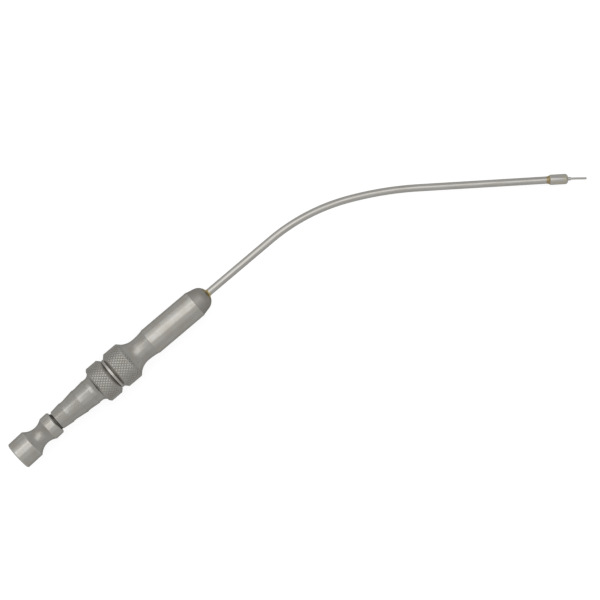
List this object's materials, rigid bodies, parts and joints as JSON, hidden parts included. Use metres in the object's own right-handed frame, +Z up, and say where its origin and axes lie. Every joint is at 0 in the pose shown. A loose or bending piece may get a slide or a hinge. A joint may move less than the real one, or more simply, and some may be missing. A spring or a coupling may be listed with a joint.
{
  "type": "frazier suction tip",
  "caption": "Slim curved suction tip lying on its side: knurled steel handle, stepped hose cone, bent tube with a fine nozzle, and a knobbed wire stylet left inside.",
  "frame": {"origin": "on the table under the middle of the lying part's footprint", "axes": "+Z up from the table; +X along the handle towards the nozzle; the tube bends towards -Y"},
  "size_m": [0.2096, 0.0608, 0.014],
  "materials": {
    "knob_steel": "satin turned",
    "wire_steel": "drawn",
    "connector_steel": "satin turned, knurled ring",
    "seal_polymer": "matt",
    "handle_steel": "satin turned, knurled ring",
    "braze_metal": "as brazed",
    "tube_steel": "satin drawn",
    "nozzle_steel": "satin, faint heat tint"
  },
  "bodies": {
    "root": {"stylet_knob": "knob_steel", "stylet_wire": "wire_steel", "hose_connector": "connector_steel", "union_seal": "seal_polymer", "handle_body": "handle_steel", "nose_braze": "braze_metal", "suction_tube": "tube_steel", "tip_braze": "braze_metal", "tip_nozzle": "nozzle_steel"}
  },
  "joints": []
}
